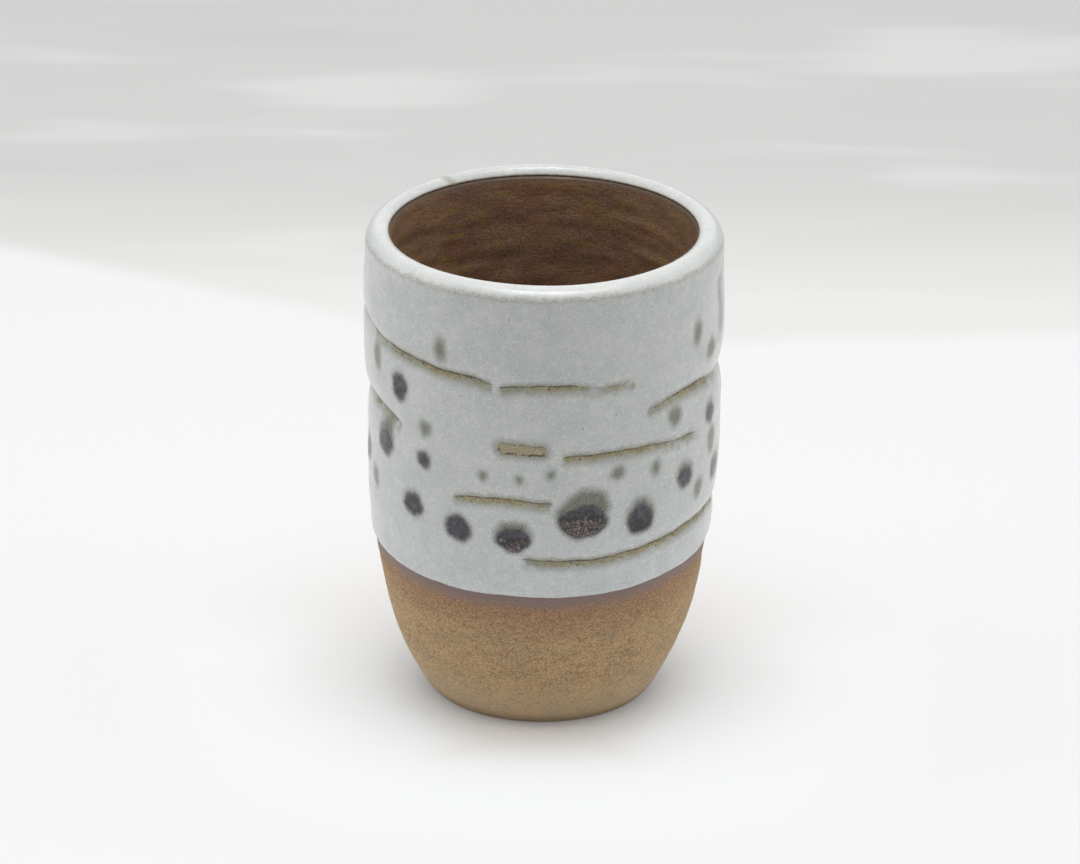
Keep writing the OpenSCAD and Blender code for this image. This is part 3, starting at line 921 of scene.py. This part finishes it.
def glaze_ledges(s):
    """Smoke along each ledge, the bare strip below its edge, dark dots and the broken brown line."""
    h = s.field("line_h")
    brown_k = s.field("line_brown")
    tan_k = s.field("line_tan")
    either = s.math("MAXIMUM", brown_k, tan_k)
    frayed = s.total(h, (s.fray, 0.7), (s.fine, 0.5), (s.coarse, 0.6))
    smoke = s.times(s.ramp(s.total(either, (s.coarse, 1.2)), 0.0, 0.55), s.ramp(either, 0.02, 0.2))
    haze = s.times(s.ramp(frayed, -2.9, -0.5), s.ramp(frayed, 1.3, 0.0), smoke)
    haze_colour = s.mix(s.ramp(s.grain, 0.40, 0.60), (116, 118, 94), (150, 153, 130))
    s.lay(haze_colour, haze, 0.66)
    strip_k = s.times(s.ramp(s.total(tan_k, (s.coarse, 1.4)), 0.15, 0.8), s.ramp(tan_k, 0.02, 0.2))
    strip = s.times(s.ramp(frayed, -1.5, -0.7), s.ramp(h, 0.06, -0.14), strip_k)
    strip_colour = s.mix(s.ramp(s.mottle, 0.40, 0.60), (190, 172, 134), (164, 158, 122))
    strip_colour = s.over(strip_colour, s.grain, 0.50, 0.36, 0.7, 100, 86, 62)
    s.lay(strip_colour, strip, 0.85)
    near = s.times(s.ramp(either, 0.2, 0.7), s.ramp(h, -1.6, -0.8), s.ramp(h, 0.3, 0.0))
    dot = s.times(s.specks(1.1, 18, (0.26, 0.14), (0.60, 0.64)), near)
    s.lay((70, 60, 46), dot, 0.8)
    crack = s.total(h, (s.fray, 0.25), (s.fine, 0.3))
    break_k = s.times(s.ramp(s.total(brown_k, (s.fray, 1.3)), 0.0, 0.45), s.ramp(brown_k, 0.02, 0.2))
    gaps = s.ramp(s.total(s.noise(0.9, 2, 29), (s.fine, 0.6)), 0.36, 0.58, 0.2, 1.0)
    breaking = s.times(s.band(crack, -0.26, 0.0, 0.12), break_k, gaps)
    s.lay((84, 64, 42), breaking, 0.9)
    return strip


def glaze_patch(s):
    """The bare patch: the haze round it, its sandy ground and its broken dark outline."""
    patch = s.total(s.field("patch_d"), (s.coarse, 0.9), (s.fray, 0.7), (s.fine, 0.4))
    s.wash(patch, 1.8, -0.1, 0.64, 138, 139, 119)
    bare = s.ramp(patch, 0.30, -0.30)
    bare_colour = s.mix(s.ramp(s.mottle, 0.36, 0.62), (196, 180, 150), (180, 170, 138))
    bare_colour = s.over(bare_colour, s.grain, 0.52, 0.36, 0.7, 120, 106, 82)
    s.lay(bare_colour, bare, 0.92)
    rim = s.times(s.band(patch, -0.30, 0.04, 0.14), s.ramp(s.noise(1.8, 2, 43), 0.45, 0.55))
    lower = s.ramp(s.axis("Z"), PATCH_Z + 1.0, PATCH_Z - 0.4, 0.5, 1.0)
    s.lay((78, 62, 44), rim, lower, 0.9)
    return bare


def glaze_spots(s):
    """Olive dabs, and dark dabs with their halo, core, soot, crust of crystals and pits."""
    soft = s.total(s.times(s.coarse, 0.5), (s.fray, 0.3), (s.fine, 0.45))
    s.wash(s.add(s.field("olive_d"), soft), 1.0, -1.1, 0.8, 102, 107, 80)
    halo = s.ramp(s.add(s.field("oxide_d"), soft), 1.15, -1.3)
    halo_colour = s.mix(s.ramp(s.grain, 0.36, 0.64), (84, 89, 70), (122, 126, 106))
    halo_colour = s.over(halo_colour, s.fray, -0.02, 0.14, 0.5, 80, 82, 72)
    s.lay(halo_colour, halo, 0.88)
    core = s.ramp(s.total(s.field("core_d"), (soft, 1.3)), 0.6, -0.9)
    core_colour = s.mix(s.ramp(s.mottle, 0.35, 0.65), (54, 52, 60), (84, 83, 94))
    core_colour = s.over(core_colour, s.grain, 0.50, 0.34, 0.5, 40, 38, 44)
    s.lay(core_colour, core, 0.95)
    crust = s.field("crust")
    sooty = s.total(crust, (s.fray, 1.6), (s.coarse, 1.0))
    s.lay((30, 28, 29), core, s.ramp(sooty, 0.0, 0.5), s.ramp(sooty, 0.5, 1.0, 0.8, 0.4))
    cluster = s.ramp(s.total(s.times(crust, 0.6), (s.coarse, 1.1), (s.fray, 1.3)), 0.36, 0.66)
    granules = s.specks(0.30, 19, (0.56, 0.28), (0.34, 0.56))
    crystals = s.times(granules, cluster, s.ramp(crust, 0.05, 0.5))
    s.lay((92, 76, 72), cluster, crust, 0.5)
    s.lay((182, 162, 153), crystals, 0.9)
    pit = s.specks(1.9, 24, (0.09, 0.04), (0.55, 0.62))
    s.lay((168, 168, 166), pit, s.ramp(halo, 0.2, 0.8), 0.8)
    return crust, crystals


def wall_glaze_material(name):
    """The pale glaze with all that shows in it: break lines, bare strips, oxide and its haze."""
    s = GlazeShader(name)
    shoulder = s.total(s.axis("Z"), (s.swing(2.6, 4, 16, (1, 1, 1), 0.7), 2.2))
    plain_glaze(s)
    lip = glaze_lip(s, shoulder)
    strip = glaze_ledges(s)
    bare = glaze_patch(s)
    crust, crystals = glaze_spots(s)
    dry = s.math("MAXIMUM", s.math("MAXIMUM", strip, bare), s.times(crust, 0.5))
    satin = s.ramp(s.mottle, 0.3, 0.7, 0.20, 0.27)
    normal = s.bump(s.noise(3.0, 1, 26), 0.035)
    lip_grain = s.times(s.noise(1.1, 3, 27), s.ramp(shoulder, SHOULDER_Z - 1, SHOULDER_Z + 1))
    normal = s.bump(lip_grain, 0.05, normal)
    normal = s.bump(s.times(s.noise(0.3, 2, 28), dry), 0.08, normal)
    polish = s.total(satin, (dry, 0.42), (lip, -0.05))
    return s.finish({"Roughness": polish, "Normal": normal, "Metallic": s.times(crystals, 0.3)})


def liner_material():
    """Brown glaze in streaks of rust and gold, with dark and golden grains."""
    s = Shader("liner_brown")
    streak = (1, 1, 2.6)
    s.colour = s.mix(s.ramp(s.noise(12, 4, 31, streak), 0.38, 0.62), (160, 128, 102), (140, 112, 94))
    s.wash(s.noise(6, 5, 32, streak), 0.48, 0.70, 0.6, 158, 106, 80)
    s.wash(s.noise(5, 5, 33, streak), 0.50, 0.70, 0.7, 162, 134, 78)
    s.wash(s.noise(1.6, 3, 36, (1, 1, 1.6)), 0.50, 0.66, 0.3, 108, 88, 74)
    grit = s.noise(0.5, 3, 34, (1, 1, 2), 0.7)
    s.wash(grit, 0.50, 0.66, 0.7, 84, 68, 58)
    s.wash(grit, 0.46, 0.32, 0.7, 196, 154, 98)
    speck = s.specks(1.7, 35, (0.14, 0.07), (0.55, 0.62))
    s.lay((190, 176, 156), speck, 0.4)
    s.wash(s.axis("Z"), INNER_LIP_Z - 0.3, INNER_LIP_Z + 0.7, 0.9, 84, 67, 50)
    normal = s.bump(s.noise(1.6, 3, 37, (1, 1, 3)), 0.10)
    normal = s.bump(s.noise(0.4, 2, 38), 0.03, normal)
    polish = s.ramp(s.noise(4, 2, 39), 0.3, 0.7, 0.36, 0.52)
    return s.finish({"Roughness": polish, "Normal": normal, "Specular IOR Level": 0.4})


# The camera, as fitted to the photograph, and the room

PHOTO_W = 1080
FOCAL_PX = 6301.2
CAMERA_DISTANCE = 1201.2
CAMERA_ELEVATION = 22.94
CAMERA_PAN = 0.0176
CAMERA_TILT = 0.1937
CAMERA_ROLL = -0.564
SENSOR_W = 36.0

# Half the floor's width in metres, and how much it glows to the camera and in reflections
FLOOR_HALF = 4.0
FLOOR_GLOW = 0.10

# The two far edges of the white board: slope, and distance behind the cup
BOARD_EDGES = [(0.51, 164), (-0.09, 170)]

# Strength of the room's light where it is dimmest, ahead and below, and brightest, above and behind
ROOM_DIM = 0.12
ROOM_BRIGHT = 0.61

# Lamps: name, place and aim in metres, width and height in metres, power
LAMPS = [
    ("overhead", (0, -0.08, 1.1), (0, 0, 0), (0.75, 0.8), 5.1),
    ("lamp", (0, -0.02, 1.0), (0, 0, 0.09), (0.34, 0.2), 1.25),
    ("left", (-1.0, 0.05, 0.38), (0, 0, 0.05), (1.2, 0.75), 1.9),
    ("right", (1.0, 0.05, 0.38), (0, 0, 0.05), (1.2, 0.75), 1.6),
    ("back", (0.05, 1.25, 0.5), (0, 0, 0.09), (0.8, 0.4), 0.6),
]


def build_camera():
    e = math.radians(CAMERA_ELEVATION)
    data = bpy.data.cameras.new("camera")
    data.sensor_width = SENSOR_W
    data.lens = FOCAL_PX / PHOTO_W * SENSOR_W
    data.clip_start = 0.05
    data.clip_end = 20
    ahead = Vector((0, math.cos(e), -math.sin(e)))
    right = Vector((1, 0, 0))
    up = right.cross(ahead)
    pan = Matrix.Rotation(math.radians(CAMERA_PAN), 3, up)
    ahead, right = pan @ ahead, pan @ right
    tilt = Matrix.Rotation(math.radians(CAMERA_TILT), 3, right)
    ahead = tilt @ ahead
    up = right.cross(ahead)
    roll = Matrix.Rotation(math.radians(CAMERA_ROLL), 3, ahead)
    right, up = roll @ right, roll @ up
    place = Vector((0, -CAMERA_DISTANCE * math.cos(e), CUP_H / 2 + CAMERA_DISTANCE * math.sin(e))) * MM
    turn = Matrix((right, up, -ahead)).transposed().to_4x4()
    camera = placed("camera", data)
    camera.matrix_world = Matrix.Translation(place) @ turn
    bpy.context.scene.camera = camera


def floor_material():
    """A white board with a pale, creased cloth beyond its two far edges and a greyer table in front.
    Painted light makes the board lighter and cooler close to the cup at its sides and in front, lifting the
    cup's shadow there, and painted shade and light lie on the cloth's folds. All of it is a little paler to
    the camera and in reflections, where it also glows as painted light that lightens the cup's shadow."""
    s = Shader("floor_white")
    x, y = s.axis("X"), s.axis("Y")
    past_left, past_right = [s.add(s.times(x, slope), s.add(y, -back)) for slope, back in BOARD_EDGES]
    far = s.ramp(s.math("MINIMUM", past_left, past_right), -6, 8)
    cloth = s.mix(s.ramp(y, 180, 290), (231, 231, 229), (207, 208, 206))
    # Painted shade and painted light: darker and lighter patches for the cloth's folds
    fold = s.noise(70, 2, 51, (0.5, 1.8, 1))
    cloth = s.over(cloth, fold, 0.45, 0.30, 0.5, 200, 200, 200)
    cloth = s.over(cloth, fold, 0.55, 0.70, 0.4, 236, 236, 235)
    s.colour = s.mix(s.ramp(y, -170, -300), (240, 240, 240), (150, 150, 148))
    # Painted light: close to the cup, at its sides and in front but not at the front of its foot, the board
    # is lighter and cooler, lifting and cooling the cup's shadow
    reach = s.math("SQRT", s.add(s.times(x, x), s.times(y, y)))
    beside = s.math("MAXIMUM", s.ramp(s.math("ABSOLUTE", x), 8, 24), s.ramp(y, -28, -42))
    near = s.times(s.ramp(reach, 90, 28), s.ramp(y, 40, 5), beside)
    s.lay(s.mix(s.ramp(reach, 45, 24), (244, 244, 244), (243, 246, 250)), near)
    s.lay(cloth, far)
    # Painted light: to the camera and in reflections the board glows and, close to the cup, is lighter and
    # cooler, which lightens the cup's shadow
    path = s.node("LightPath")
    seen = s.math("MAXIMUM", path.outputs["Is Camera Ray"], path.outputs["Is Glossy Ray"])
    seen_share = s.mix(near, (243, 243, 243), (250, 253, 255))
    s.colour = s.mix(seen, s.colour, seen_share, blend="MULTIPLY")
    glow = {"Emission Color": (1, 1, 1, 1), "Emission Strength": s.times(seen, FLOOR_GLOW)}
    return s.finish({"Roughness": 0.85, "Specular IOR Level": 0.1, **glow})


def build_floor():
    half = FLOOR_HALF
    corners = [(-half, -half, 0), (half, -half, 0), (half, half, 0), (-half, half, 0)]
    mesh = bpy.data.meshes.new("floor")
    mesh.from_pydata(corners, [], [(0, 1, 2, 3)])
    mesh.materials.append(floor_material())
    made = placed("floor", mesh)


def build_world():
    """Soft light that is bright above and behind, and dim at the front."""
    world = bpy.data.worlds.new("soft_room")
    world.use_nodes = True
    n = Nodes(world.node_tree)
    slope = n.node("VectorMath")
    slope.operation = "DOT_PRODUCT"
    n.fill(slope, {0: n.node("TexCoord").outputs["Generated"], 1: (0, 0.22, 0.98)})
    strength = n.ramp(slope.outputs["Value"], -0.3, 1.0, ROOM_DIM, ROOM_BRIGHT)
    n.fill(n.tree.nodes["Background"], {"Color": (1, 1, 1, 1), "Strength": strength})
    bpy.context.scene.world = world


def build_lamps():
    for name, place, aim, size, power in LAMPS:
        data = bpy.data.lights.new(name, "AREA")
        data.shape = "RECTANGLE"
        data.size, data.size_y = size
        data.energy = power
        lamp = placed(name, data)
        lamp.location = place
        lamp.rotation_euler = (Vector(aim) - Vector(place)).to_track_quat("-Z", "Y").to_euler()


build_camera()
build_floor()
build_world()
build_lamps()
build_clay(clay_material())
build_outer_glaze(wall_glaze_material("glaze_pale"))
build_liner(liner_material())
dark = wall_glaze_material("glaze_dark_oxide")
build_spots("dark_oxide_plugs", DARK_SPOTS, 0.5, 0.03, dark, "dark_oxide", "dark_oxide_spots")
olive = wall_glaze_material("glaze_olive_oxide")
build_spots("olive_oxide_plugs", OLIVE_SPOTS, 0.4, 0.0, olive, "olive_oxide", "olive_oxide_spots")

bpy.context.scene.view_settings.view_transform = "Standard"
